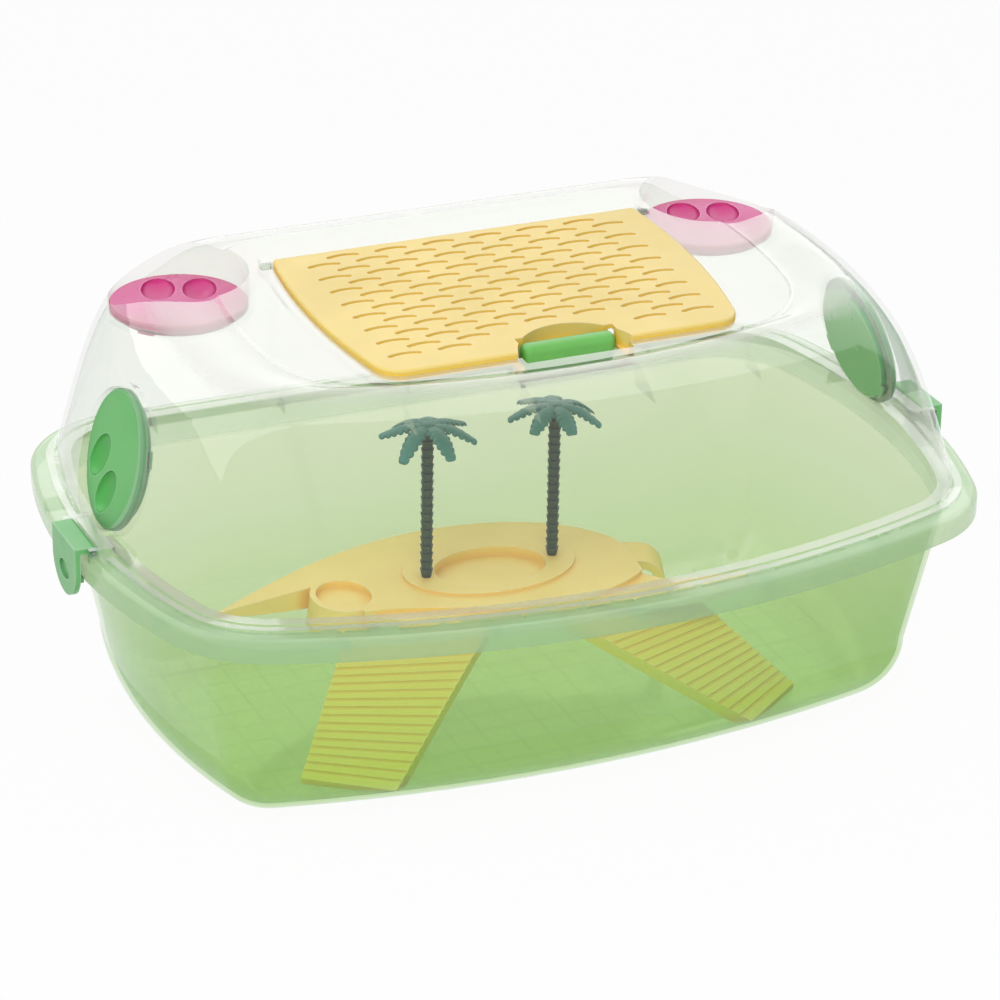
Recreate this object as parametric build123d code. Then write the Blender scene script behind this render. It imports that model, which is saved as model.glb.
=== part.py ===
from build123d import *
import math
import os

os.makedirs("parts", exist_ok=True)

# Rim of the tub, seen from above: bowed front and ends, straight back
rim_half_length = 200.0
rim_half_depth = 134.0
rim_end_radius = 302.0
rim_front_radius = 454.0
rim_front_corner = 53.5
rim_back_corner = 52.0
widest_y = 17.5

# Tub
tub_wall = 2.0
floor_half_length = 172.5
floor_half_depth = 94.3
floor_end_radius = 273.0
floor_front_radius = 614.0
floor_corner = 20.0
bowl_round = 32.0
rim_top_z = 106.5
skirt_bottom_z = 96.8
rim_overhang = 12.2
rim_wall = 2.0
rim_edge_round = 3.5
gusset_count = 5
gusset_pitch = 61.0
gusset_thickness = 1.6

# Cover
cover_wall = 2.0
cover_inset = 10.2
flange_width = 3.2
flange_thickness = 2.0
lip_depth = 3.0
lip_thickness = 1.6
lip_gap = 1.9
roof_z = 188.9
roof_tilt = 3.2
end_lean = 23.0
end_reach = 46.0
end_power = 5.0
front_lean = 16.0
front_reach = 47.0
front_power = 2.0
back_lean = 9.0
back_reach = 16.0
back_power = 4.5
dome_steps = [0, 15, 30, 45, 60, 72, 82, 90]
rib_pitch = 52.0
rib_pairs = 3
rib_thickness = 1.6
rib_reach = 8.0
rib_drop = 17.0
rib_back_inset = 72.0

# Roof door, in the tilted frame of the roof
door_half_width = 85.8
door_bow = 3.5
door_taper = 5.3
door_front_inset = 85.6
door_back_inset = 62.4
door_front_y = door_front_inset - rim_half_depth
door_back_y = rim_half_depth - door_back_inset
door_thickness = 5.0
door_skin = 2.2
door_rib = 3.0
door_corner = 12.0
door_back_corner = 4.0
door_edge_round = 1.2
door_gap = 0.5
seat_wall = 3.0
seat_floor = 1.8
seat_ledge = 4.0
seat_back_corner = 1.0
slot_length = 13.0
slot_width = 2.3
slot_bow = 1.2
slot_pitch_x = 22.4
slot_pitch_y = 13.1
slot_columns = 7
slot_rows = 8
slot_shift = 3.5
slot_margin = 4.0

# Thumb recess at the front of the door
thumb_half_width = 26.0
thumb_depth = 20.0
thumb_wall = 1.6
thumb_drop = 5.0
thumb_rim = 0.6

# Door hinge
hinge_pin_radius = 1.5
hinge_pin_reach = 6.0
hinge_ear = 4.6
hinge_ear_gap = 1.6
pin_clearance = 0.3
pin_seat = 0.05

# Door latch
latch_x = 4.0
latch_half_length = 21.5
latch_thickness = 8.0
latch_height = 13.4
latch_rise = 1.5
latch_round = 3.5
latch_lap = 12.0
latch_gap = 0.5
latch_pin_radius = 1.2
latch_pin_inset = 2.4
latch_pin_height = 2.8
latch_pocket_gap = 3.0
latch_cheek = 3.0
latch_sill = 8.4
latch_shelf_reach = 7.0

# Round ports and their plugs
port_plug_radius = 30.0
port_face = 3.0
port_gap = 0.6
port_wall = 2.0
port_seat = 1.5
port_bore_radius = 26.6
port_neck_gap = 0.4
port_lug_reach = 1.8
port_lug_height = 1.3
port_lug_angle = 16.0
port_lug_gap = 0.4
port_turn = 35.0
port_height = 45.0
port_edge = 0.8
scoop_half_width = 7.5
scoop_half_length = 12.5
scoop_shift = 12.0
scoop_depth = 4.4
scoop_ridge = 3.0
roof_plug_turn = -20.0
end_plug_turn = 52.0
roof_port_inset = 73.7
roof_port_back = 56.1
roof_port_drop = 9.3
end_port_inset = 22.6
end_port_rise = 31.8
end_port_tilt = 14.1
roof_port_x = rim_half_length - roof_port_inset
roof_port_y = rim_half_depth - roof_port_back
roof_port_z = roof_z - roof_port_drop
end_port_x = rim_half_length - end_port_inset
end_port_z = rim_top_z + end_port_rise

# End clips
clip_y = 5.0
clip_width = 30.0
clip_plate = 2.6
clip_barrel_radius = 2.3
clip_pin_radius = 1.0
clip_axis_inset = 3.6
clip_axis_rise = 4.1
clip_axis_x = rim_half_length - clip_axis_inset
clip_axis_z = rim_top_z + clip_axis_rise
clip_gap = 1.6
clip_drop = 9.8
clip_bottom_z = skirt_bottom_z - clip_drop
clip_nib_width = 16.0
clip_nib_height = 2.4
clip_nib_reach = 3.4
clip_nib_gap = 0.5
clip_ear = 3.0
clip_side_gap = 0.4
clip_block_height = 6.0
clip_scoop_half_width = 6.5
clip_scoop_half_height = 4.0
clip_scoop_depth = 1.2

# Island
deck_z = 43.5
deck_thickness = 4.0
terrace_step = 2.5
ring_step = 1.5
plate_x = -6.0
plate_y = 31.5
plate_half_length = 68.0
plate_half_depth = 43.0
pool_x = 0.6
pool_y = 28.5
pool_half_length = 26.0
pool_half_depth = 19.0
pool_depth = 4.5
ring_half_length = 40.0
ring_half_depth = 27.0
cup_x = -69.4
cup_y = 28.5
cup_half_length = 12.0
cup_half_depth = 14.5
cup_depth = 3.5
cup_rim = 2.6
cup_height = 15.0
cup_flare = 1.5
left_tip = (-128.0, 31.5)
deck_back_left = (-87.7, 55.0)
deck_back_shoulder = (-43.5, 72.2)
deck_back = (11.0, 74.4)
deck_back_right = (46.0, 60.5)
deck_corner = (65.5, 36.5)
bite_side = (65.4, 20.0)
bite_foot = (63.5, 3.0)
deck_front_right = (44.0, -8.0)
deck_front = (-15.5, -6.0)
deck_front_left = (-51.4, 7.2)
cup_front = (-66.9, 9.6)
horn_root = (-80.6, 40.5)
horn_front = (-106.6, 35.9)
horn_depth = 10.0
horn_tip_depth = 2.0
right_tip = (120.0, -8.0)
right_horn_back = (92.0, -9.5)
right_horn_root = (70.0, -4.0)
right_horn_inner = (58.0, 12.0)
right_horn_front = (88.0, -24.0)
right_horn_foot = (40.0, -13.5)

# Ramps
ramp_top_inner_x = 17.0
ramp_top_inner_y = -11.5
ramp_top_outer_x = 80.0
ramp_top_outer_y = 1.5
ramp_foot_inner_x = 84.0
ramp_foot_inner_y = -69.0
ramp_foot_outer_x = 117.5
ramp_foot_outer_y = -43.5
ramp_foot_height = 3.0
ramp_thickness = 6.0
ramp_lip = 16.0
ramp_lip_share = 0.55
ramp_gap = 0.4
groove_count = 17
groove_radius = 0.8

# Arched leg at the back of the island
leg_x = 49.5
leg_y = 42.5
leg_turn = -20.0
leg_reach = 40.0
leg_round = 12.0
leg_half_width = 10.0
leg_thickness = 4.0

# Palms
palm_x = 30.4
palm_y = 29.2
trunk_radius = 2.9
trunk_waist = 2.1
trunk_height = 70.0
trunk_rings = 18
peg_radius = 1.8
peg_gap = 0.3
crown_hub_radius = 3.6
crown_hub_height = 3.0
crown_peg_radius = 1.3
frond_count = 7
frond_length = 23.0
frond_droop = 8.0
frond_half_width = 3.8
frond_thickness = 1.2


def crossing(ax, ay, reach_a, bx, by, reach_b, side):
    """One of the two points at reach_a from a and reach_b from b."""
    gap = math.hypot(bx - ax, by - ay)
    along = (reach_a ** 2 - reach_b ** 2 + gap ** 2) / (2 * gap)
    across = side * math.sqrt(reach_a ** 2 - along ** 2)
    ux = (bx - ax) / gap
    uy = (by - ay) / gap
    return ax + ux * along - uy * across, ay + uy * along + ux * across


def stretch(from_x, from_y, to_x, to_y, reach):
    """The point at reach from the first point, towards the second."""
    gap = math.hypot(to_x - from_x, to_y - from_y)
    return from_x + (to_x - from_x) * reach / gap, from_y + (to_y - from_y) * reach / gap


def outline(half_length, front, back, end_radius, front_radius, front_corner, back_corner):
    """Flat face with bowed front and ends and a straight back."""
    front_cy = -front + front_radius
    end_cx = half_length - end_radius
    inner_front = front_radius - front_corner
    fx, fy = crossing(0, front_cy, inner_front, end_cx, widest_y, end_radius - front_corner, 1)
    kx_reach = math.sqrt((end_radius - back_corner) ** 2 - (back - back_corner - widest_y) ** 2)
    kx = end_cx + kx_reach
    ky = back - back_corner
    a = stretch(0, front_cy, fx, fy, front_radius)
    b = stretch(end_cx, widest_y, fx, fy, end_radius)
    ab_mid = stretch(fx, fy, (a[0] + b[0]) / 2, (a[1] + b[1]) / 2, front_corner)
    c = stretch(end_cx, widest_y, kx, ky, end_radius)
    d = (kx, back)
    cd_mid = stretch(kx, ky, (c[0] + d[0]) / 2, (c[1] + d[1]) / 2, back_corner)
    edges = [
        ThreePointArc((-a[0], a[1]), (0, -front), a),
        ThreePointArc(a, ab_mid, b),
        ThreePointArc(b, (half_length, widest_y), c),
        ThreePointArc(c, cd_mid, d),
        Line(d, (-d[0], d[1])),
        ThreePointArc((-d[0], d[1]), (-cd_mid[0], cd_mid[1]), (-c[0], c[1])),
        ThreePointArc((-c[0], c[1]), (-half_length, widest_y), (-b[0], b[1])),
        ThreePointArc((-b[0], b[1]), (-ab_mid[0], ab_mid[1]), (-a[0], a[1])),
    ]
    return make_face(Wire(edges).edges())


def rim_outline(inset):
    """The rim's outline, moved in by a distance all round."""
    return outline(
        rim_half_length - inset,
        rim_half_depth - inset,
        rim_half_depth - inset,
        rim_end_radius - inset,
        rim_front_radius - inset,
        rim_front_corner - inset,
        rim_back_corner - inset,
    )


def bowl_outline(rise, inset):
    """The bowl's wall outline; rise runs from 0 at the floor round to 1 under the rim."""
    def mix(low, high):
        return low + (high - low) * rise

    return outline(
        mix(floor_half_length, rim_half_length - rim_overhang) - inset,
        mix(floor_half_depth, rim_half_depth - rim_overhang) - inset,
        mix(floor_half_depth, rim_half_depth - rim_overhang) - inset,
        mix(floor_end_radius, rim_end_radius - rim_overhang) - inset,
        mix(floor_front_radius, rim_front_radius - rim_overhang) - inset,
        mix(floor_corner, rim_front_corner - rim_overhang) - inset * 0.4,
        mix(floor_corner, rim_back_corner - rim_overhang) - inset * 0.4,
    )


def bowl(inset, extra):
    """Solid bowl: rounded floor edge, straight flared wall."""
    sections = []
    radius = bowl_round - inset
    for angle in (90, 70, 50, 30, 12, 0):
        turn = math.radians(angle)
        move = inset + radius * (1 - math.cos(turn))
        height = inset + radius * (1 - math.sin(turn))
        sections.append(Pos(0, 0, height) * bowl_outline(0, move))
    floor_round = loft(sections)
    wall_foot = Pos(0, 0, bowl_round) * bowl_outline(0, inset)
    wall_head = Pos(0, 0, rim_top_z + extra) * bowl_outline(1, inset)
    return floor_round + loft([wall_foot, wall_head], ruled=True)


def prism(face, low, high):
    """Upright solid between two heights."""
    return extrude(Pos(0, 0, low) * face, amount=high - low)


def make_tub():
    rim = prism(rim_outline(0), skirt_bottom_z, rim_top_z)
    top_edges = rim.faces().sort_by(Axis.Z)[-1].edges()
    rim = fillet(top_edges, rim_edge_round)
    channel = prism(rim_outline(rim_wall), skirt_bottom_z - 1, rim_top_z - rim_wall)
    gussets = []
    for number in range(gusset_count):
        x = (number - (gusset_count - 1) / 2) * gusset_pitch
        gussets.append(Pos(x, 0, 0) * Box(gusset_thickness, 3 * rim_half_depth, 3 * rim_top_z))
    for side in (-1, 1):
        gusset = Box(3 * rim_half_length, gusset_thickness, 3 * rim_top_z)
        gussets.append(Pos(0, side * gusset_pitch, 0) * gusset)
    band = prism(rim_outline(rim_wall), skirt_bottom_z + 1, rim_top_z - rim_wall)
    ribs = band & (Part() + gussets)
    body = bowl(0, 0) + (rim - channel) + ribs
    return body - bowl(tub_wall, 1)


def dome_inset(height, lean, reach, power):
    return lean * height + reach * (1 - (1 - height ** power) ** (1 / power))


def dome(wall):
    """Solid dome; its sections tip with the roof as they rise."""
    foot = rim_top_z + flange_thickness
    sections = []
    for angle in dome_steps:
        height = math.sin(math.radians(angle))
        ends = dome_inset(height, end_lean, end_reach, end_power)
        front = dome_inset(height, front_lean, front_reach, front_power)
        back = dome_inset(height, back_lean, back_reach, back_power)
        mean = (ends + front) / 2
        base = cover_inset + wall
        face = outline(
            rim_half_length - base - ends,
            rim_half_depth - base - front,
            rim_half_depth - base - back,
            rim_end_radius - base - mean,
            rim_front_radius - base - mean,
            rim_front_corner - base,
            rim_back_corner - base,
        )
        z = foot + (roof_z - wall - foot) * height
        sections.append(Pos(0, 0, z) * Rot(roof_tilt * height, 0, 0) * face)
    return loft(sections)


def shoulder_ribs():
    """Thin upright ribs inside the cover, under the front edge of the roof."""
    back_y = rib_back_inset - rim_half_depth
    bars = []
    for number in range(rib_pairs):
        for side in (-1, 1):
            bar = Box(rib_thickness, rim_half_depth, rib_drop, align=(Align.CENTER, Align.MAX, Align.MAX))
            bars.append(Pos(side * (number + 0.5) * rib_pitch, back_y, roof_z) * bar)
    return Part() + bars - dome(cover_wall + rib_reach)


def roof_frame():
    return Pos(0, 0, roof_z) * Rot(roof_tilt, 0, 0)


def roof_box(x_low, x_high, y_low, y_high, z_low, z_high):
    """A box in the roof's tilted frame."""
    box = Box(x_high - x_low, y_high - y_low, z_high - z_low, align=(Align.MIN, Align.MIN, Align.MIN))
    return roof_frame() * Pos(x_low, y_low, z_low) * box


def port_frames():
    """The four port frames; local Z points out of the tank."""
    frames = {}
    for name, side in (("left", -1), ("right", 1)):
        place = Pos(side * roof_port_x, roof_port_y, roof_port_z)
        frames["roof_plug_" + name] = place * Rot(0, 0, roof_plug_turn)
        place = Pos(side * end_port_x, widest_y, end_port_z) * Rot(0, side * (90 - end_port_tilt), 0)
        frames["end_plug_" + name] = place * Rot(0, 0, -side * end_plug_turn)
    return frames


def disc(radius, low, high):
    return Pos(0, 0, low) * Cylinder(radius, high - low, align=(Align.CENTER, Align.CENTER, Align.MIN))


def lug_wedge(radius, low, high, spread, start):
    """Three pie slices, used for the plug's lugs and the slots they drop through."""
    slices = []
    for number in range(3):
        turn = start + number * 120
        rays = []
        for step in (-spread / 2, spread / 2):
            angle = math.radians(turn + step)
            rays.append((1.4 * radius * math.cos(angle), 1.4 * radius * math.sin(angle)))
        face = make_face(Polyline((0, 0), rays[0], rays[1], close=True).edges())
        slices.append(prism(face, low, high) & disc(radius, low, high))
    return Part() + slices


def port_socket():
    return disc(port_plug_radius + port_gap + port_wall, -port_face - port_seat, port_height)


def port_cut():
    recess = disc(port_plug_radius + port_gap, -port_face, port_height)
    bore = disc(port_bore_radius, -port_face - port_seat - 1, 0)
    lug_radius = port_bore_radius + port_lug_reach
    slots = lug_wedge(lug_radius, -port_face - port_seat - 1, 0, port_lug_angle + 4, port_turn)
    return recess + bore + slots


def port_plug():
    face = disc(port_plug_radius, -port_face, 0)
    face = chamfer(face.faces().sort_by(Axis.Z)[-1].edges(), port_edge)
    neck_radius = port_bore_radius - port_neck_gap
    lug_top = -port_face - port_seat - port_lug_gap
    neck = disc(neck_radius, lug_top - port_lug_height, -port_face)
    lugs = lug_wedge(neck_radius + port_lug_reach, lug_top - port_lug_height, lug_top, port_lug_angle, 0)
    body = face + neck + lugs
    for side in (-1, 1):
        x = side * (scoop_ridge / 2 + scoop_half_width)
        scoop = scale(Sphere(1), by=(scoop_half_width, scoop_half_length, scoop_depth))
        body = body - Pos(x, scoop_shift, 0) * scoop
    return body


def door_outline(inset, back_corner):
    """Door seen from above: straight back, bowed ends, narrower rounded front."""
    back_half = door_half_width - inset
    front_half = back_half - door_taper
    middle_half = back_half + door_bow
    front = door_front_y + inset
    back = door_back_y - inset
    side = ThreePointArc((back_half, back), (middle_half, widest_y), (front_half, front))
    other = ThreePointArc((-front_half, front), (-middle_half, widest_y), (-back_half, back))
    face = make_face([side, Line((front_half, front), (-front_half, front)), other,
                      Line((-back_half, back), (back_half, back))])
    corners = face.vertices().sort_by(Axis.Y)
    face = fillet(corners[0:2], door_corner - inset)
    corners = face.vertices().sort_by(Axis.Y)
    return fillet(corners[-2:], back_corner)


def door_seat():
    """Frame under the roof that the door drops into."""
    outer = door_outline(-door_gap - seat_wall, seat_back_corner)
    return roof_frame() * prism(outer, -door_thickness / 2 - seat_floor, 0)


def door_seat_cut():
    pocket = prism(door_outline(-door_gap, seat_back_corner), -door_thickness / 2 - 0.1, 20)
    opening = prism(door_outline(seat_ledge - door_gap, seat_back_corner), -20, 20)
    return roof_frame() * (pocket + opening)


def hinge_y():
    return door_back_y - door_thickness / 2


def hinge_ears():
    ears = []
    inner = door_half_width + hinge_ear_gap
    for side in (-1, 1):
        low = min(side * inner, side * (inner + hinge_ear))
        half = door_thickness / 2 + 1
        ear = roof_box(low, low + hinge_ear, hinge_y() - half, hinge_y() + half, -4, half)
        ears.append(ear)
    return Part() + ears


def cross_pin(x_low, x_high, y, z, radius):
    """Round bar along X in the roof's frame."""
    bar = Cylinder(radius, x_high - x_low, align=(Align.CENTER, Align.CENTER, Align.MIN))
    return roof_frame() * Pos(x_low, y, z) * Rot(0, 90, 0) * bar


def latch_back_y():
    return door_front_y + latch_lap


def latch_pin_y():
    return latch_back_y() - latch_thickness + latch_pin_inset


def latch_pin_z():
    return latch_rise - latch_height + latch_pin_height


def latch_pocket_walls():
    half = latch_half_length + latch_pocket_gap + latch_cheek
    front = latch_back_y() - latch_thickness - latch_pocket_gap
    back = latch_back_y() + latch_gap + seat_floor
    low = latch_rise - latch_height - latch_gap
    deep = roof_box(latch_x - half, latch_x + half, front - seat_floor, back, low - seat_floor, 0)
    shelf_front = front - latch_shelf_reach - seat_floor
    shelf = roof_box(latch_x - half, latch_x + half, shelf_front, front + 1, -latch_sill - seat_floor, 0)
    return deep + shelf


def latch_pocket_cut():
    half = latch_half_length + latch_pocket_gap
    front = latch_back_y() - latch_thickness - latch_pocket_gap
    low = latch_rise - latch_height - latch_gap
    deep = roof_box(latch_x - half, latch_x + half, front, latch_back_y() + latch_gap, low, 20)
    shelf_front = front - latch_shelf_reach
    shelf = roof_box(latch_x - half, latch_x + half, shelf_front, front + 1, -latch_sill, 20)
    drop = thumb_drop + thumb_wall + door_gap
    reach = thumb_half_width + thumb_wall + door_gap
    thumb = roof_box(latch_x - reach, latch_x + reach, door_front_y - door_gap, 0, -drop, 20)
    return deep + shelf + thumb


def clip_blocks():
    """Raised block and ears on the flange at each end, for the clip's pin."""
    half = clip_width / 2 + clip_side_gap
    inner_x = rim_half_length - cover_inset - cover_wall
    outer_x = clip_axis_x - clip_barrel_radius - clip_side_gap
    block = Box(outer_x - inner_x, clip_width + 2 * clip_side_gap + 2 * clip_ear, clip_block_height,
                align=(Align.MIN, Align.CENTER, Align.MIN))
    parts = [Pos(inner_x, clip_y, rim_top_z) * block]
    for side in (-1, 1):
        ear = Box(clip_axis_x + clip_barrel_radius - inner_x, clip_ear, clip_block_height,
                  align=(Align.MIN, Align.CENTER, Align.MIN))
        parts.append(Pos(inner_x, clip_y + side * (half + clip_ear / 2), rim_top_z + 0.4) * ear)
    right = Part() + parts
    bore = Rot(90, 0, 0) * Cylinder(clip_pin_radius + pin_seat, 2 * clip_width)
    bore = Pos(clip_axis_x, clip_y, clip_axis_z) * bore
    right = right - bore
    return right + mirror(right, Plane.YZ)


def make_cover():
    core = dome(cover_wall) - door_seat() - latch_pocket_walls() - shoulder_ribs()
    for frame in port_frames().values():
        core = core - frame * port_socket()
    foot = rim_top_z + flange_thickness
    stub = prism(rim_outline(cover_inset), rim_top_z, foot)
    flange = prism(rim_outline(cover_inset - flange_width), rim_top_z, foot)
    lip_inset = rim_overhang + tub_wall + lip_gap
    lip = prism(rim_outline(lip_inset), rim_top_z - lip_depth, foot)
    hollow = prism(rim_outline(lip_inset + lip_thickness), rim_top_z - lip_depth - 1, foot + 0.01)
    shell = dome(0) + stub + flange + lip - hollow - core
    shell = shell - door_seat_cut() - latch_pocket_cut()
    for frame in port_frames().values():
        shell = shell - frame * port_cut()
    shell = shell + hinge_ears() + clip_blocks()
    reach = door_half_width + hinge_ear_gap + hinge_ear + 1
    shell = shell - cross_pin(-reach, reach, hinge_y(), 0, hinge_pin_radius + pin_seat)
    reach = latch_half_length + latch_pocket_gap + latch_cheek + 1
    seat = latch_pin_radius + pin_seat
    bore = cross_pin(latch_x - reach, latch_x + reach, latch_pin_y(), latch_pin_z(), seat)
    return shell - bore


def slot_pattern():
    """Staggered rows of short bowed slots, leaving the thumb recess clear."""
    half = slot_length / 2
    arc = ThreePointArc((-half, -slot_bow / 2), (0, slot_bow / 2), (half, -slot_bow / 2))
    one = SlotArc(arc, slot_width)
    faces = []
    middle = (door_front_y + door_back_y) / 2 + slot_shift
    for row in range(2 * slot_rows):
        shift = slot_pitch_x / 2 * (row % 2)
        y = middle + (row - slot_rows + 0.5) * slot_pitch_y / 2
        for column in range(-slot_columns, slot_columns + 1):
            x = column * slot_pitch_x + shift
            inside_x = abs(x) + slot_length / 2 < door_half_width - door_rib - slot_margin
            front = door_front_y + door_rib + slot_margin
            inside_y = front < y < door_back_y - door_thickness - slot_width / 2
            beside_thumb = abs(x - latch_x) < thumb_half_width + slot_length / 2 + slot_margin
            near_thumb = beside_thumb and y < door_front_y + thumb_depth + slot_margin
            if inside_x and inside_y and not near_thumb:
                faces.append(Pos(x, y) * one)
    return faces


def thumb_shape(extra):
    """Half-lens outline of the thumb recess, grown by extra."""
    left = latch_x - thumb_half_width - extra
    right = latch_x + thumb_half_width + extra
    top = door_front_y + thumb_depth + extra
    arc = ThreePointArc((left, door_front_y), (latch_x, top), (right, door_front_y))
    return make_face([arc, Line((right, door_front_y), (left, door_front_y))])


def make_door():
    half = door_thickness / 2
    plate = prism(door_outline(0, door_back_corner), -half, half)
    plate = fillet(plate.faces().sort_by(Axis.Z)[-1].edges(), door_edge_round)
    plate = plate - door_back_cut()
    plate = plate - prism(door_hollow_outline(), -half - 1, half - door_skin)
    hole = Pos(0, 0, -half - 1) * extrude(Sketch() + slot_pattern(), amount=door_thickness + 2)
    plate = plate - hole
    well = prism(thumb_shape(thumb_wall), -thumb_drop - thumb_wall, half - thumb_rim)
    well = well - prism(thumb_shape(0), -thumb_drop, half + 1)
    plate = plate - prism(thumb_shape(0), -half - 1, half + 1) + well
    room_half = latch_half_length + 2 * latch_gap
    room_height = latch_height + 4 * thumb_drop
    room = Box(2 * room_half, thumb_depth, room_height, align=(Align.CENTER, Align.MAX, Align.CENTER))
    plate = plate - Pos(latch_x, latch_back_y() + latch_gap, 0) * room
    for side in (-1, 1):
        bore = Rot(0, 90, 0) * Cylinder(hinge_pin_radius + pin_clearance, 2 * hinge_pin_reach + 2)
        plate = plate - Pos(side * door_half_width, hinge_y(), 0) * bore
    return roof_frame() * plate


def door_back_cut():
    """What the door's back edge loses so that it is round about the hinge."""
    half = door_thickness / 2
    behind = Box(3 * door_half_width, door_thickness, 4 * half, align=(Align.CENTER, Align.MIN, Align.CENTER))
    barrel = Rot(0, 90, 0) * Cylinder(half, 4 * door_half_width)
    return Pos(0, hinge_y(), 0) * (behind - barrel)


def door_hollow_outline():
    """The hollow under the door's skin, ending before the hinge."""
    front_part = door_outline(door_rib, seat_back_corner)
    back = door_back_y - door_thickness - door_rib
    keep = Pos(0, back) * Rectangle(3 * door_half_width, 3 * door_half_width, align=(Align.CENTER, Align.MAX))
    return front_part & keep


def make_hinge_pin(side):
    inner = door_half_width - hinge_pin_reach
    outer = door_half_width + hinge_ear_gap + hinge_ear
    if side < 0:
        return cross_pin(-outer, -inner, hinge_y(), 0, hinge_pin_radius)
    return cross_pin(inner, outer, hinge_y(), 0, hinge_pin_radius)


def make_latch():
    low = latch_rise - latch_height
    length = 2 * latch_half_length
    bar = Box(length, latch_thickness, latch_height, align=(Align.CENTER, Align.MAX, Align.MIN))
    bar = Pos(latch_x, latch_back_y(), low) * bar
    bar = fillet(bar.edges(), latch_round)
    bore = Pos(latch_x, latch_pin_y(), latch_pin_z()) * Rot(0, 90, 0)
    bore = bore * Cylinder(latch_pin_radius + pin_clearance, 3 * latch_half_length)
    return roof_frame() * (bar - bore)


def make_latch_pin():
    reach = latch_half_length + latch_pocket_gap + latch_cheek
    return cross_pin(latch_x - reach, latch_x + reach, latch_pin_y(), latch_pin_z(), latch_pin_radius)


def make_clip():
    """Right-hand clip: barrel, plate over the rim, tongue and nib."""
    inner = rim_half_length + clip_gap
    outer = inner + clip_plate
    top = clip_axis_z + clip_barrel_radius
    half = clip_width / 2
    barrel = Pos(clip_axis_x, 0, clip_axis_z) * Rot(90, 0, 0) * Cylinder(clip_barrel_radius, clip_width)
    plate = Pos(clip_axis_x, 0, top - clip_plate) * Box(
        outer - clip_axis_x, clip_width, clip_plate, align=(Align.MIN, Align.CENTER, Align.MIN))
    tip = top - clip_bottom_z
    shape = make_face([
        Line((-half, 0), (half, 0)),
        Line((half, 0), (half, -tip / 2)),
        ThreePointArc((half, -tip / 2), (0, -tip), (-half, -tip / 2)),
        Line((-half, -tip / 2), (-half, 0)),
    ])
    upright = Plane(origin=(inner, 0, top), x_dir=(0, 1, 0), z_dir=(1, 0, 0))
    tongue = extrude(upright * shape, amount=clip_plate)
    nib_z = skirt_bottom_z - clip_nib_gap - clip_nib_height
    nib = Pos(inner + 0.5, 0, nib_z) * Box(
        clip_nib_reach + 0.5, clip_nib_width, clip_nib_height, align=(Align.MAX, Align.CENTER, Align.MIN))
    body = barrel + plate + tongue + nib
    oval = Ellipse(clip_scoop_half_height, clip_scoop_half_width)
    scoop = Pos(outer - clip_scoop_depth, 0, clip_bottom_z + tip * 0.42) * Rot(0, 90, 0)
    body = body - scoop * extrude(oval, amount=clip_plate)
    bore = Rot(90, 0, 0) * Cylinder(clip_pin_radius + pin_clearance, 2 * clip_width)
    bore = Pos(clip_axis_x, 0, clip_axis_z) * bore
    return Pos(0, clip_y, 0) * (body - bore)


def make_clip_pin():
    length = clip_width + 2 * clip_side_gap + 2 * clip_ear
    return Pos(clip_axis_x, clip_y, clip_axis_z) * Rot(90, 0, 0) * Cylinder(clip_pin_radius, length)


def upper_face():
    """Upper deck with the left horn."""
    return make_face([
        Spline(left_tip, deck_back_left, deck_back_shoulder, deck_back, deck_back_right, deck_corner),
        ThreePointArc(deck_corner, bite_side, bite_foot),
        Spline(bite_foot, deck_front_right, deck_front, deck_front_left, cup_front),
        Line(cup_front, (cup_x, cup_y)),
        Line((cup_x, cup_y), horn_root),
        ThreePointArc(horn_root, horn_front, left_tip),
    ])


def right_horn_face():
    return make_face([
        ThreePointArc(right_tip, right_horn_front, right_horn_foot),
        Line(right_horn_foot, (pool_x, pool_y)),
        Line((pool_x, pool_y), right_horn_inner),
        Line(right_horn_inner, right_horn_root),
        ThreePointArc(right_horn_root, right_horn_back, right_tip),
    ])


def oval(half_length, half_depth, x, y, low, high):
    return prism(Pos(x, y) * Ellipse(half_length, half_depth), low, high)


def upper_side(top):
    """Side view of the upper deck: level, deeper at the cup and arched under the left horn."""
    tip_x = left_tip[0]
    root_x = horn_root[0]
    horn_low = top - horn_depth
    middle = ((tip_x + root_x) / 2, top - horn_depth * 0.7)
    far = rim_half_length
    face = make_face([
        ThreePointArc((tip_x, top - horn_tip_depth), middle, (root_x, horn_low)),
        Line((root_x, horn_low), (cup_x, horn_low)),
        Line((cup_x, horn_low), (cup_x, deck_z)),
        Line((cup_x, deck_z), (far, deck_z)),
        Line((far, deck_z), (far, top)),
        Line((far, top), (tip_x, top)),
        Line((tip_x, top), (tip_x, top - horn_tip_depth)),
    ])
    return extrude(Plane.XZ * face, amount=rim_half_depth, both=True)


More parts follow.
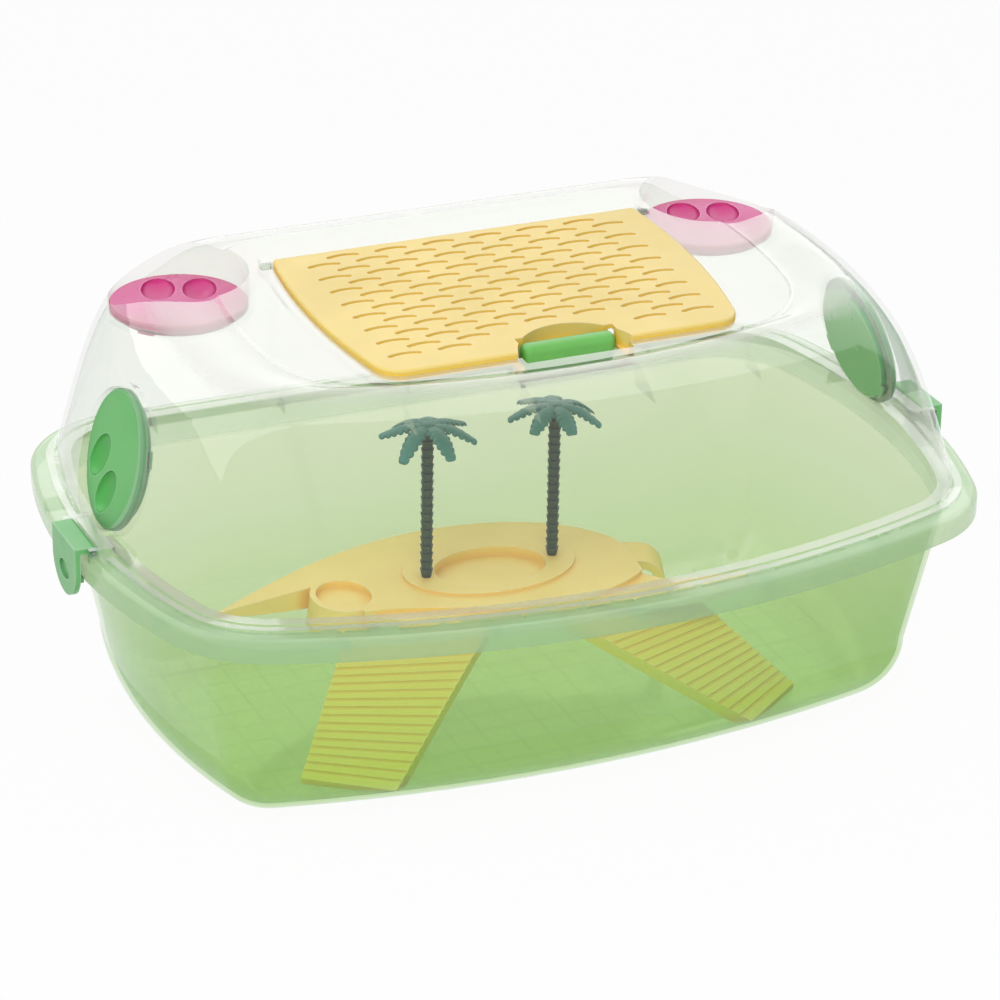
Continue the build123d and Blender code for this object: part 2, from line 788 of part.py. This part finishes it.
def make_deck():
    """Island: lower plate, upper deck, horns, pool, food cup and palm sockets."""
    plate_top = deck_z + deck_thickness
    top = plate_top + terrace_step
    body = prism(upper_face(), top - horn_depth, top) & upper_side(top)
    body = body + oval(plate_half_length, plate_half_depth, plate_x, plate_y, deck_z, plate_top)
    body = body + prism(right_horn_face(), deck_z, plate_top)
    cup = loft([
        Pos(cup_x, cup_y, top - cup_height) * Ellipse(cup_half_length + cup_rim + cup_flare,
                                                      cup_half_depth + cup_rim + cup_flare),
        Pos(cup_x, cup_y, top) * Ellipse(cup_half_length + cup_rim, cup_half_depth + cup_rim),
    ])
    body = body + cup
    body = body - oval(cup_half_length, cup_half_depth, cup_x, cup_y, top - cup_depth, top + 1)
    ring_y = pool_y + ring_step
    body = body + oval(ring_half_length, ring_half_depth, pool_x, ring_y, plate_top, top + ring_step)
    pool_floor = top + ring_step - pool_depth
    body = body - oval(pool_half_length, pool_half_depth, pool_x, pool_y, pool_floor, top + pool_depth)
    for side in (-1, 1):
        socket = disc(peg_radius + peg_gap, deck_z - 1, top + pool_depth)
        body = body - Pos(pool_x + side * palm_x, palm_y, 0) * socket
    return body


def ruled_quad(points):
    """Surface through four corner points."""
    first = Edge.make_line(points[0], points[1])
    second = Edge.make_line(points[3], points[2])
    return Face.make_surface_from_curves(first, second)


def slab(corners, thickness):
    """Plate under four corner points, with upright sides."""
    lower = [(x, y, z - thickness) for x, y, z in corners]
    faces = [ruled_quad(corners), ruled_quad(lower)]
    for number in range(4):
        after = (number + 1) % 4
        faces.append(ruled_quad([corners[number], corners[after], lower[after], lower[number]]))
    return Part() + Solid(Shell(faces))


def ramp_edge(share, low_x, low_y, high_x, high_y):
    return low_x + (high_x - low_x) * share, low_y + (high_y - low_y) * share


def make_ramp():
    """Right-hand ramp with cross grooves and a lip that carries the deck."""
    top_z = deck_z - ramp_gap
    foot_z = tub_wall + ramp_foot_height
    body = slab([
        (ramp_top_inner_x, ramp_top_inner_y, top_z),
        (ramp_top_outer_x, ramp_top_outer_y, top_z),
        (ramp_foot_outer_x, ramp_foot_outer_y, foot_z),
        (ramp_foot_inner_x, ramp_foot_inner_y, foot_z),
    ], ramp_thickness)
    end_x, end_y = ramp_edge(
        ramp_lip_share, ramp_top_inner_x, ramp_top_inner_y, ramp_top_outer_x, ramp_top_outer_y)
    lip = slab([
        (ramp_top_inner_x, ramp_top_inner_y, top_z),
        (end_x, end_y, top_z),
        (end_x, end_y + ramp_lip, top_z),
        (ramp_top_inner_x, ramp_top_inner_y + ramp_lip, top_z),
    ], ramp_thickness / 2)
    body = body + lip
    for number in range(1, groove_count + 1):
        share = number / (groove_count + 1)
        ix, iy = ramp_edge(share, ramp_foot_inner_x, ramp_foot_inner_y, ramp_top_inner_x, ramp_top_inner_y)
        ox, oy = ramp_edge(share, ramp_foot_outer_x, ramp_foot_outer_y, ramp_top_outer_x, ramp_top_outer_y)
        z = foot_z + (top_z - foot_z) * share
        turn = math.degrees(math.atan2(oy - iy, ox - ix))
        bar = Rot(0, 0, turn) * Rot(0, 90, 0) * Cylinder(groove_radius, math.hypot(ox - ix, oy - iy) + 8)
        body = body - Pos((ix + ox) / 2, (iy + oy) / 2, z) * bar
    return body & bowl(tub_wall + ramp_gap, 0)


def make_rear_leg():
    """Arched leg from the deck's back right corner down to the floor."""
    drop = deck_z - 2 * ramp_gap - tub_wall
    corner = (leg_reach, 0)
    band = make_face([
        Line((0, 0), corner),
        Line(corner, (leg_reach, -drop)),
        Line((leg_reach, -drop), (leg_reach - leg_thickness, -drop)),
        Line((leg_reach - leg_thickness, -drop), (leg_reach - leg_thickness, -leg_thickness)),
        Line((leg_reach - leg_thickness, -leg_thickness), (0, -leg_thickness)),
        Line((0, -leg_thickness), (0, 0)),
    ])
    arch = extrude(Plane.XZ * band, amount=leg_half_width, both=True)
    bends = arch.edges().filter_by(Axis.Y).group_by(Axis.Z)
    outer_bend = bends[-1].sort_by(Axis.X)[-1]
    arch = fillet(outer_bend, leg_round)
    inner_bend = arch.edges().filter_by(Axis.Y).filter_by_position(
        Axis.X, leg_reach - leg_thickness - 1, leg_reach - leg_thickness + 1).sort_by(Axis.Z)[-1]
    arch = fillet(inner_bend, leg_round - leg_thickness)
    return Pos(leg_x, leg_y, deck_z - ramp_gap) * Rot(0, 0, leg_turn) * arch


def ring_top_z():
    """Height of the ring round the pool, where the palms stand."""
    return deck_z + deck_thickness + terrace_step + ring_step


def make_trunk():
    """Ringed trunk with a peg at each end."""
    base = ring_top_z()
    pitch = trunk_height / trunk_rings
    rings = []
    for number in range(trunk_rings):
        ring = Cone(trunk_waist, trunk_radius, pitch, align=(Align.CENTER, Align.CENTER, Align.MIN))
        rings.append(Pos(0, 0, base + number * pitch) * ring)
    body = Part() + rings
    peg_length = deck_thickness + terrace_step
    body = body + disc(peg_radius, base - peg_length, base + 1)
    peg_top = base + trunk_height + crown_hub_height - 0.5
    return body + disc(crown_peg_radius, base + trunk_height - 1, peg_top)


def frond():
    """One drooping leaf along +X."""
    band = make_face([
        ThreePointArc((0, 0), (frond_length / 2, 1.5), (frond_length, -frond_droop)),
        Line((frond_length, -frond_droop), (frond_length, -frond_droop - frond_thickness)),
        ThreePointArc((frond_length, -frond_droop - frond_thickness), (frond_length / 2, 1.5 - frond_thickness),
                      (0, -frond_thickness)),
        Line((0, -frond_thickness), (0, 0)),
    ])
    curved = extrude(Plane.XZ * band, amount=2 * frond_half_width, both=True)
    leaf = make_face([
        ThreePointArc((0, -1.2), (frond_length * 0.55, -frond_half_width), (frond_length, 0)),
        ThreePointArc((frond_length, 0), (frond_length * 0.55, frond_half_width), (0, 1.2)),
        Line((0, 1.2), (0, -1.2)),
    ])
    return curved & prism(leaf, -3 * frond_droop, 10)


def make_crown():
    base = ring_top_z() + trunk_height
    body = disc(crown_hub_radius, 0, crown_hub_height)
    for number in range(frond_count):
        leaf = Pos(0, 0, crown_hub_height - 0.2) * frond()
        body = body + Rot(0, 0, number * 360 / frond_count) * leaf
    body = body - disc(crown_peg_radius + 0.1, -1, crown_hub_height - 0.4)
    return Pos(0, 0, base) * body


def flip(shape):
    """The left-hand twin of a right-hand piece."""
    return mirror(shape, Plane.YZ)


tub = make_tub()
export_step(tub, "parts/tub.step")
cover = make_cover()
export_step(cover, "parts/cover.step")
export_step(make_door(), "parts/roof_door.step")
export_step(make_hinge_pin(-1), "parts/door_hinge_pin_left.step")
export_step(make_hinge_pin(1), "parts/door_hinge_pin_right.step")
export_step(make_latch(), "parts/door_latch.step")
export_step(make_latch_pin(), "parts/door_latch_pin.step")
for plug_name, plug_frame in port_frames().items():
    export_step(plug_frame * port_plug(), "parts/" + plug_name + ".step")
clip = make_clip()
export_step(clip, "parts/clip_right.step")
export_step(flip(clip), "parts/clip_left.step")
clip_pin = make_clip_pin()
export_step(clip_pin, "parts/clip_pin_right.step")
export_step(flip(clip_pin), "parts/clip_pin_left.step")
export_step(make_deck(), "parts/island_deck.step")
ramp = make_ramp()
export_step(ramp, "parts/ramp_right.step")
export_step(flip(ramp), "parts/ramp_left.step")
export_step(make_rear_leg(), "parts/rear_leg.step")
trunk = make_trunk()
crown = make_crown()
for palm_name, palm_side in (("left", -1), ("right", 1)):
    place = Pos(pool_x + palm_side * palm_x, palm_y, 0)
    export_step(place * trunk, "parts/palm_trunk_" + palm_name + ".step")
    export_step(place * crown, "parts/palm_crown_" + palm_name + ".step")
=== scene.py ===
import math
import random

import bpy
from mathutils import Matrix, Vector


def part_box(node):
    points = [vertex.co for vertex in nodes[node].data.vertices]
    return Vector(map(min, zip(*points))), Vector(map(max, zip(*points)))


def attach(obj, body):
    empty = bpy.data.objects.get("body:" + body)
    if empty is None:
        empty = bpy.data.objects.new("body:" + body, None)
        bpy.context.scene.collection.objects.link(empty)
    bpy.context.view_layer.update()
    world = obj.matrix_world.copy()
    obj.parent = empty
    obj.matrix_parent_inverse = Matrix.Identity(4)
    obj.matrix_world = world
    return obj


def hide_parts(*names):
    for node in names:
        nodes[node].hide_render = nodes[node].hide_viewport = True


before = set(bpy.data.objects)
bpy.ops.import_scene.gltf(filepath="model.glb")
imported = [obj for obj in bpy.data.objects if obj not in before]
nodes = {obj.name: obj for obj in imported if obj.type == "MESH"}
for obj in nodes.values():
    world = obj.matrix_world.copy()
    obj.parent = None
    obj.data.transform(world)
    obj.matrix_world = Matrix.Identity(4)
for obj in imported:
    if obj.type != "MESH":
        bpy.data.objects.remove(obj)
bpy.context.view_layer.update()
scene = bpy.context.scene

MM = 0.001
WHITE = (1.0, 1.0, 1.0, 1.0)
IOR = 1.5
EDGE_RADIUS = 1.2 * MM


def srgb(r, g, b):
    """Linear colour from 0-255 screen values."""
    out = []
    for value in (r, g, b):
        value = value / 255
        if value <= 0.04045:
            out.append(value / 12.92)
        else:
            out.append(((value + 0.055) / 1.055) ** 2.4)
    return (out[0], out[1], out[2], 1.0)


# Materials


class Tree:
    """Short helper to add and link shader nodes."""

    def __init__(self, name):
        self.material = bpy.data.materials.new("look_" + name)
        self.material.use_nodes = True
        self.tree = self.material.node_tree
        self.tree.nodes.clear()
        self.out = self.add("ShaderNodeOutputMaterial")

    def add(self, kind, inputs=None, **settings):
        node = self.tree.nodes.new(kind)
        for key, value in settings.items():
            setattr(node, key, value)
        for key, value in (inputs or {}).items():
            if isinstance(value, bpy.types.NodeSocket):
                self.tree.links.new(value, node.inputs[key])
            else:
                node.inputs[key].default_value = value
        return node

    def coords(self):
        return self.add("ShaderNodeTexCoord").outputs["Object"]

    def axes(self):
        return self.add("ShaderNodeSeparateXYZ", {"Vector": self.coords()}).outputs

    def noise(self, scale, detail=3.0, rough=0.55):
        node = self.add("ShaderNodeTexNoise", {
            "Vector": self.coords(), "Scale": scale, "Detail": detail, "Roughness": rough})
        return node.outputs["Fac"]

    def span(self, value, low, high, to_low, to_high):
        node = self.add("ShaderNodeMapRange", {
            "Value": value, "From Min": low, "From Max": high, "To Min": to_low, "To Max": to_high})
        return node.outputs["Result"]

    def mix_color(self, share, first, second):
        node = self.add("ShaderNodeMix", data_type="RGBA")
        for socket, value in ((node.inputs[0], share), (node.inputs[6], first), (node.inputs[7], second)):
            if isinstance(value, bpy.types.NodeSocket):
                self.tree.links.new(value, socket)
            else:
                socket.default_value = value
        return node.outputs[2]

    def math(self, operation, a, b=0.0):
        return self.add("ShaderNodeMath", {0: a, 1: b}, operation=operation).outputs[0]

    def bump(self, height, strength, distance):
        return self.add("ShaderNodeBump", {
            "Height": height, "Strength": strength, "Distance": distance}).outputs["Normal"]

    def painted_edge_highlight(self):
        """Mask for a painted edge highlight: 1 on convex edges, 0 on flats."""
        rounded = self.add("ShaderNodeBevel", {"Radius": EDGE_RADIUS}, samples=4).outputs["Normal"]
        flat = self.add("ShaderNodeNewGeometry").outputs["Normal"]
        dot = self.add("ShaderNodeVectorMath", {0: rounded, 1: flat}, operation="DOT_PRODUCT")
        return self.span(dot.outputs["Value"], 0.995, 0.8, 0.0, 1.0)

    def painted_hollow_shade(self, reach):
        """Mask for painted shade: 1 far into hollows, 0 in the open."""
        open_share = self.add("ShaderNodeAmbientOcclusion", {"Distance": reach}, samples=6).outputs["AO"]
        return self.span(open_share, 0.92, 0.45, 0.0, 1.0)

    def mix(self, share, first, second):
        node = self.add("ShaderNodeMixShader", {0: share, 1: first, 2: second})
        return node.outputs[0]

    def clear(self, color):
        return self.add("ShaderNodeBsdfTransparent", {"Color": color}).outputs[0]

    def finish(self, shader):
        self.tree.links.new(shader, self.out.inputs["Surface"])
        return self.material


LOW_COLOR_TOP = 44 * MM
LOW_COLOR_FULL = 28 * MM


def toned(color, factor, lift=0.0):
    """The colour made darker or paler, kept within 0 and 1."""
    return tuple(min(1.0, c * factor + lift) for c in color[:3]) + (1.0,)


def plastic(name, color, hollow_shade_color, reach, rough, grain=900.0, low_color=None, edge_highlight_share=0.25):
    """Opaque moulded plastic: tone drift, fine grain, painted shade that darkens the hollows and a painted
    highlight that makes edges paler.
    """
    t = Tree(name)
    drift = t.span(t.noise(22.0), 0.35, 0.65, 0.0, 1.0)
    base = t.mix_color(drift, toned(color, 0.95), toned(color, 1.03, 0.005))
    if low_color:
        low = t.span(t.axes()["Z"], LOW_COLOR_TOP, LOW_COLOR_FULL, 0.0, 1.0)
        base = t.mix_color(low, base, low_color)
    # Painted shade: hollows are mixed towards the darker shade colour.
    base = t.mix_color(t.painted_hollow_shade(reach), base, hollow_shade_color)
    # Painted highlight: convex edges are mixed towards white.
    base = t.mix_color(t.math("MULTIPLY", t.painted_edge_highlight(), edge_highlight_share), base, WHITE)
    gloss = t.span(t.noise(60.0), 0.3, 0.7, rough - 0.05, rough + 0.05)
    height = t.math("ADD", t.math("MULTIPLY", t.noise(grain, 2.0), 0.4), t.noise(35.0, 1.0))
    shader = t.add("ShaderNodeBsdfPrincipled", {
        "Base Color": base, "Roughness": gloss, "IOR": 1.46, "Normal": t.bump(height, 0.05, 0.6 * MM)})
    return t.finish(shader.outputs[0])


# The tub's own values: floor lines, the milky rim and the deeper tint near the floor
LINE_HALF_PITCH = 7 * MM
LINE_EDGE = 0.9 * MM
LINE_CORE = 0.4 * MM
LINES_TOP = 6.5 * MM
LINES_FULL = 5.5 * MM
RIM_LOW = 94 * MM
RIM_FULL = 96 * MM
RIM_MILK = 0.4
RIM_BODY = srgb(214, 236, 214)
LOW_TINT = srgb(194, 220, 156)
LOW_TINT_TOP = 100 * MM


def floor_lines(t):
    """1 on the thin moulded lines of the tub's floor, 0 elsewhere."""
    axes = t.axes()
    lines = 0.0
    for axis in ("X", "Y"):
        wave = t.math("PINGPONG", axes[axis], LINE_HALF_PITCH)
        line = t.span(wave, LINE_EDGE, LINE_CORE, 0.0, 1.0)
        lines = t.math("MAXIMUM", line, lines)
    low = t.span(axes["Z"], LINES_TOP, LINES_FULL, 0.0, 1.0)
    return t.math("MULTIPLY", lines, low)


def sheer(name, tint, edge_tint, body, body_share, edge_share, rough, reflect, shade, is_tub=False,
          roof_frost_and_sheen=0.0):
    """Thin clear or milky wall. It shades once per wall: faces seen from behind let everything through.

    tint is what light passing straight through becomes, edge_tint the same at a glancing angle,
    body the milky part, shade what shadow rays keep.
    """
    t = Tree(name)
    drift = t.span(t.noise(14.0), 0.3, 0.7, 0.94, 1.05)
    height = t.math("ADD", t.noise(26.0, 1.0), t.math("MULTIPLY", t.noise(700.0, 2.0), 0.005))
    milk_and_sheen_share = body_share
    # Up-facing faces get more milk: partly a frosted roof, partly a painted sheen of overhead light.
    if roof_frost_and_sheen:
        facing_up = t.add("ShaderNodeTexCoord").outputs["Normal"]
        up = t.add("ShaderNodeSeparateXYZ", {"Vector": facing_up}).outputs["Z"]
        milk_and_sheen_share = t.span(up, 0.9, 0.985, body_share, body_share + roof_frost_and_sheen)
    if is_tub:
        lines = floor_lines(t)
        height = t.math("ADD", height, t.math("MULTIPLY", lines, 0.6))
        level = t.axes()["Z"]
        rim = t.span(level, RIM_LOW, RIM_FULL, 0.0, RIM_MILK)
        milk_and_sheen_share = t.math("ADD", t.math("ADD", t.math("MULTIPLY", lines, 0.1), rim), body_share)
        tint = t.mix_color(t.span(level, 0.0, LOW_TINT_TOP, 0.0, 1.0), LOW_TINT, tint)
        body = t.mix_color(t.math("MULTIPLY", rim, 1.5), body, RIM_BODY)
    normal = t.bump(height, 0.015, 0.8 * MM)
    facing = t.add("ShaderNodeLayerWeight", {"Blend": 0.35, "Normal": normal}).outputs["Facing"]
    grazing = t.math("POWER", facing, 3.0)
    tone = t.mix_color(grazing, tint, edge_tint)
    clear = t.add("ShaderNodeBsdfTransparent", {"Color": tone}).outputs[0]
    diffuse = t.add("ShaderNodeBsdfDiffuse", {"Color": body, "Normal": normal}).outputs[0]
    back = t.add("ShaderNodeBsdfTranslucent", {"Color": body, "Normal": normal}).outputs[0]
    milk = t.mix(0.5, diffuse, back)
    edge_milk = t.math("MULTIPLY", grazing, edge_share)
    share = t.math("MULTIPLY", t.math("ADD", edge_milk, milk_and_sheen_share), drift)
    through = t.mix(share, clear, milk)
    rough_drift = t.span(t.noise(45.0), 0.3, 0.7, rough - 0.02, rough + 0.02)
    gloss = t.add("ShaderNodeBsdfGlossy", {
        "Color": WHITE, "Roughness": rough_drift, "Normal": normal}).outputs[0]
    fresnel = t.add("ShaderNodeFresnel", {"IOR": IOR, "Normal": normal}).outputs[0]
    front = t.mix(t.math("MULTIPLY", fresnel, reflect), through, gloss)
    shadow = t.add("ShaderNodeLightPath").outputs["Is Shadow Ray"]
    front = t.mix(shadow, front, t.clear(shade))
    backfacing = t.add("ShaderNodeNewGeometry").outputs["Backfacing"]
    return t.finish(t.mix(backfacing, front, t.clear(WHITE)))


tub_green = sheer(
    "tub_green", tint=srgb(222, 233, 198), edge_tint=srgb(176, 218, 158), body=srgb(160, 214, 150),
    body_share=0.12, edge_share=0.35, rough=0.12, reflect=0.9, shade=srgb(222, 240, 214), is_tub=True)
# The cover's roof milk is partly frosting and partly a painted sheen.
cover_clear = sheer(
    "cover_clear", tint=srgb(250, 252, 249), edge_tint=srgb(226, 232, 226), body=srgb(238, 234, 238),
    body_share=0.03, edge_share=0.25, rough=0.06, reflect=1.15, shade=srgb(252, 252, 252), roof_frost_and_sheen=0.4)
pin_clear = sheer(
    "pin_clear", tint=srgb(240, 246, 238), edge_tint=srgb(216, 226, 216), body=srgb(220, 232, 222),
    body_share=0.2, edge_share=0.4, rough=0.1, reflect=1.0, shade=srgb(250, 250, 250))
door_yellow = plastic("door_yellow", srgb(234, 208, 120), srgb(246, 200, 62), reach=4 * MM, rough=0.38)
latch_green = plastic("latch_green", srgb(108, 184, 88), srgb(70, 150, 60), reach=5 * MM, rough=0.32)
plug_pink = plastic("plug_pink", srgb(202, 26, 128), srgb(186, 0, 96), reach=8 * MM, rough=0.3)
plug_green = plastic("plug_green", srgb(84, 180, 84), srgb(44, 140, 56), reach=8 * MM, rough=0.32)
clip_green = plastic("clip_green", srgb(110, 182, 112), srgb(72, 152, 84), reach=6 * MM, rough=0.34)
island_yellow = plastic(
    "island_yellow", srgb(254, 228, 134), srgb(240, 196, 88), reach=6 * MM, rough=0.55, grain=1400.0,
    low_color=srgb(254, 240, 122))
trunk_green = plastic("trunk_green", srgb(40, 72, 56), srgb(18, 42, 32), reach=4 * MM, rough=0.5, edge_highlight_share=0.04)
frond_teal = plastic("frond_teal", srgb(66, 140, 128), srgb(40, 98, 90), reach=6 * MM, rough=0.5, edge_highlight_share=0.08)

finishes = {
    "tub": tub_green,
    "cover": cover_clear,
    "roof_door": door_yellow,
    "door_hinge_pin_left": pin_clear,
    "door_hinge_pin_right": pin_clear,
    "door_latch": latch_green,
    "door_latch_pin": pin_clear,
    "roof_plug_left": plug_pink,
    "roof_plug_right": plug_pink,
    "end_plug_left": plug_green,
    "end_plug_right": plug_green,
    "clip_left": clip_green,
    "clip_right": clip_green,
    "clip_pin_left": pin_clear,
    "clip_pin_right": pin_clear,
    "island_deck": island_yellow,
    "ramp_left": island_yellow,
    "ramp_right": island_yellow,
    "rear_leg": island_yellow,
    "palm_trunk_left": trunk_green,
    "palm_trunk_right": trunk_green,
    "palm_crown_left": frond_teal,
    "palm_crown_right": frond_teal,
}

for name, material in finishes.items():
    part = nodes[name]
    part.data.materials.clear()
    part.data.materials.append(material)


# Pieces made here


def put_mesh(name, verts, faces, material):
    """A mesh object of one material."""
    mesh = bpy.data.meshes.new(name)
    mesh.from_pydata(verts, [], faces)
    mesh.materials.append(material)
    obj = bpy.data.objects.new(name, mesh)
    scene.collection.objects.link(obj)
    return obj


def closed_sheet(rows, thickness):
    """Verts and faces of a closed strip of the given thickness under a grid of points."""
    across = len(rows[0])
    top = [point for row in rows for point in row]
    low = [(x, y, z - thickness) for x, y, z in top]
    count = len(top)
    faces = []
    for i in range(len(rows) - 1):
        for j in range(across - 1):
            a = i * across + j
            b = a + across
            faces.append((a, b, b + 1, a + 1))
            faces.append((count + a, count + a + 1, count + b + 1, count + b))
    rim = [j for j in range(across)]
    rim += [i * across + across - 1 for i in range(1, len(rows))]
    rim += [(len(rows) - 1) * across + j for j in range(across - 2, -1, -1)]
    rim += [i * across for i in range(len(rows) - 2, 0, -1)]
    for number, a in enumerate(rim):
        b = rim[(number + 1) % len(rim)]
        faces.append((a, b, count + b, count + a))
    return top + low, faces


# Palm crowns, in millimetres unless named otherwise
FRONDS = 7
FROND_LENGTH = 22.5
FROND_HALF_WIDTH = 4.3
FROND_DROOP = 9.5
FROND_LIFT = 0.8
FROND_THICKNESS = 0.9
FROND_SINK = 1.4
FROND_LOBES = 8
LOBE_STEPS = 6
HUB_SIDES = 16
HUB_SINK = 0.7
HUB_RINGS = ((3.6, -3.2), (3.8, -1.2), (3.0, 0.1), (1.0, 0.6))
CROWN_SEEDS = {"left": 7, "right": 19}


def frond_rows(length, half_width, droop, lift, lobes):
    """Grid of points of one leaf along +X with rounded lobes, a raised spine and a drooping tip."""
    rows = []
    stations = lobes * LOBE_STEPS
    for i in range(stations + 1):
        s = i / stations
        x = length * s
        z = lift * math.sin(math.pi * min(1.0, s * 1.3)) - droop * s ** 2.6
        body = half_width * math.sin(math.pi * min(1.0, 0.1 + 0.82 * s)) ** 0.6
        lobe = abs(math.sin(math.pi * i / LOBE_STEPS))
        width = max(0.5 * MM, body * (0.62 + 0.38 * lobe ** 0.6))
        if i == stations:
            width = 0.4 * MM
        row = []
        for j in (-1.0, -0.5, 0.0, 0.5, 1.0):
            row.append((x, j * width, z - 0.3 * abs(j) ** 1.6 * width))
        rows.append(row)
    return rows


def turned(row, angle):
    """The row's points turned about Z."""
    c = math.cos(angle)
    s = math.sin(angle)
    return [(x * c - y * s, x * s + y * c, z) for x, y, z in row]


def make_crown(side, node, body):
    """Frond crown in place of the CAD one: leaves round a small hub."""
    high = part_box(node)[1]
    trunk_low, trunk_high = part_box("palm_trunk_" + side)
    cx = (trunk_low[0] + trunk_high[0]) / 2
    cy = (trunk_low[1] + trunk_high[1]) / 2
    pick = random.Random(CROWN_SEEDS[side])
    verts = []
    faces = []
    for number in range(FRONDS):
        length = FROND_LENGTH * MM * pick.uniform(0.92, 1.0)
        droop = FROND_DROOP * MM * pick.uniform(0.35, 1.15)
        rows = frond_rows(length, FROND_HALF_WIDTH * MM, droop, FROND_LIFT * MM, FROND_LOBES)
        angle = 2 * math.pi * (number + 0.3 + pick.uniform(-0.12, 0.12)) / FRONDS
        more, polys = closed_sheet([turned(row, angle) for row in rows], FROND_THICKNESS * MM)
        base = len(verts)
        verts += [(cx + x, cy + y, high[2] - FROND_SINK * MM + z) for x, y, z in more]
        faces += [tuple(base + k for k in poly) for poly in polys]
    base = len(verts)
    for radius, height in HUB_RINGS:
        for k in range(HUB_SIDES):
            a = 2 * math.pi * k / HUB_SIDES
            x = cx + radius * MM * math.cos(a)
            y = cy + radius * MM * math.sin(a)
            verts.append((x, y, high[2] + (height - HUB_SINK) * MM))
    top_ring = (len(HUB_RINGS) - 1) * HUB_SIDES
    for ring in range(0, top_ring, HUB_SIDES):
        for k in range(HUB_SIDES):
            a = base + ring + k
            b = base + ring + (k + 1) % HUB_SIDES
            faces.append((a, b, b + HUB_SIDES, a + HUB_SIDES))
    faces.append(tuple(base + k for k in range(HUB_SIDES - 1, -1, -1)))
    faces.append(tuple(base + top_ring + k for k in range(HUB_SIDES)))
    crown = put_mesh("palm_fronds_" + side, verts, faces, frond_teal)
    for poly in crown.data.polygons:
        poly.use_smooth = True
    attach(crown, body)
    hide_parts(node)


make_crown("left", "palm_crown_left", "palm_left")
make_crown("right", "palm_crown_right", "palm_right")


# Floor, light and camera


def seen_share(tree):
    """1 for camera, mirror and glass rays, 0 for the rest."""
    path = tree.nodes.new("ShaderNodeLightPath")
    share = path.outputs["Is Camera Ray"]
    for name in ("Is Glossy Ray", "Is Transmission Ray"):
        both = tree.nodes.new("ShaderNodeMath")
        both.operation = "MAXIMUM"
        tree.links.new(share, both.inputs[0])
        tree.links.new(path.outputs[name], both.inputs[1])
        share = both.outputs[0]
    return share


FLOOR_HALF = 6.0
FLOOR_WHITE = 0.94
WORLD_LIGHT = 0.58


def floor_material():
    """Matte floor that cameras, mirrors and glass see as near white, with the object's shadow."""
    t = Tree("studio_floor")
    tone = t.mix_color(t.noise(3.0), (0.88, 0.88, 0.88, 1), (0.9, 0.9, 0.9, 1))
    matte = t.add("ShaderNodeBsdfDiffuse", {"Color": tone}).outputs[0]
    white = t.add("ShaderNodeEmission", {"Color": WHITE, "Strength": 1.0}).outputs[0]
    pale = t.mix(FLOOR_WHITE, matte, white)
    return t.finish(t.mix(seen_share(t.tree), matte, pale))


corners = [(-FLOOR_HALF, -FLOOR_HALF, 0), (FLOOR_HALF, -FLOOR_HALF, 0), (FLOOR_HALF, FLOOR_HALF, 0),
           (-FLOOR_HALF, FLOOR_HALF, 0)]
floor = put_mesh("studio_floor", corners, [(0, 1, 2, 3)], floor_material())

world = bpy.data.worlds.new("studio")
scene.world = world
world.use_nodes = True
world_tree = world.node_tree
world_tree.nodes.clear()
world_out = world_tree.nodes.new("ShaderNodeOutputWorld")
world_mix = world_tree.nodes.new("ShaderNodeMixShader")
world_tree.links.new(seen_share(world_tree), world_mix.inputs[0])
for socket, strength in ((1, WORLD_LIGHT), (2, 1.0)):
    background = world_tree.nodes.new("ShaderNodeBackground")
    background.inputs["Color"].default_value = WHITE
    background.inputs["Strength"].default_value = strength
    world_tree.links.new(background.outputs[0], world_mix.inputs[socket])
world_tree.links.new(world_mix.outputs[0], world_out.inputs["Surface"])


def area_lamp(name, place, target, width, height, glow):
    """Area lamp whose face shines with the given radiance."""
    lamp = bpy.data.lights.new(name, "AREA")
    lamp.shape = "RECTANGLE"
    lamp.size = width
    lamp.size_y = height
    lamp.energy = math.pi * width * height * glow
    obj = bpy.data.objects.new(name, lamp)
    obj.location = place
    aim = Vector(target) - Vector(place)
    obj.rotation_euler = aim.to_track_quat("-Z", "Y").to_euler()
    scene.collection.objects.link(obj)
    return obj


# The key lights the object, and the panel shows only in its gloss
key = area_lamp("key", (-0.8, -1.2, 1.6), (0, 0, 0.1), 1.6, 1.4, 3.3)
key.visible_glossy = False
panel = area_lamp("panel", (0.5, 2.4, 1.7), (0.5, 2.4, 0), 7.0, 5.2, 1.35)
panel.visible_diffuse = False
panel.visible_transmission = False
panel.visible_camera = False

# Camera place and angles fitted to the photograph
CAMERA_PLACE = (-0.6778, -1.5135, 0.8737)
CAMERA_TURN = 23.88
CAMERA_DROP = 25.12
CAMERA_ROLL = 0.95
camera_data = bpy.data.cameras.new("camera")
camera = bpy.data.objects.new("camera", camera_data)
scene.collection.objects.link(camera)
scene.camera = camera
camera_data.sensor_width = 36.0
camera_data.lens = 151.63
camera_data.clip_end = 20.0
turn = math.radians(CAMERA_TURN)
drop = math.radians(CAMERA_DROP)
roll = math.radians(CAMERA_ROLL)
ahead = Vector((math.cos(drop) * math.sin(turn), math.cos(drop) * math.cos(turn), -math.sin(drop)))
right = Vector((math.cos(turn), -math.sin(turn), 0))
up = Vector((math.sin(drop) * math.sin(turn), math.sin(drop) * math.cos(turn), math.cos(drop)))
right_rolled = right * math.cos(roll) + up * math.sin(roll)
up_rolled = up * math.cos(roll) - right * math.sin(roll)
basis = Matrix((right_rolled, up_rolled, -ahead)).transposed()
camera.matrix_world = Matrix.Translation(Vector(CAMERA_PLACE)) @ basis.to_4x4()

scene.view_settings.view_transform = "Standard"
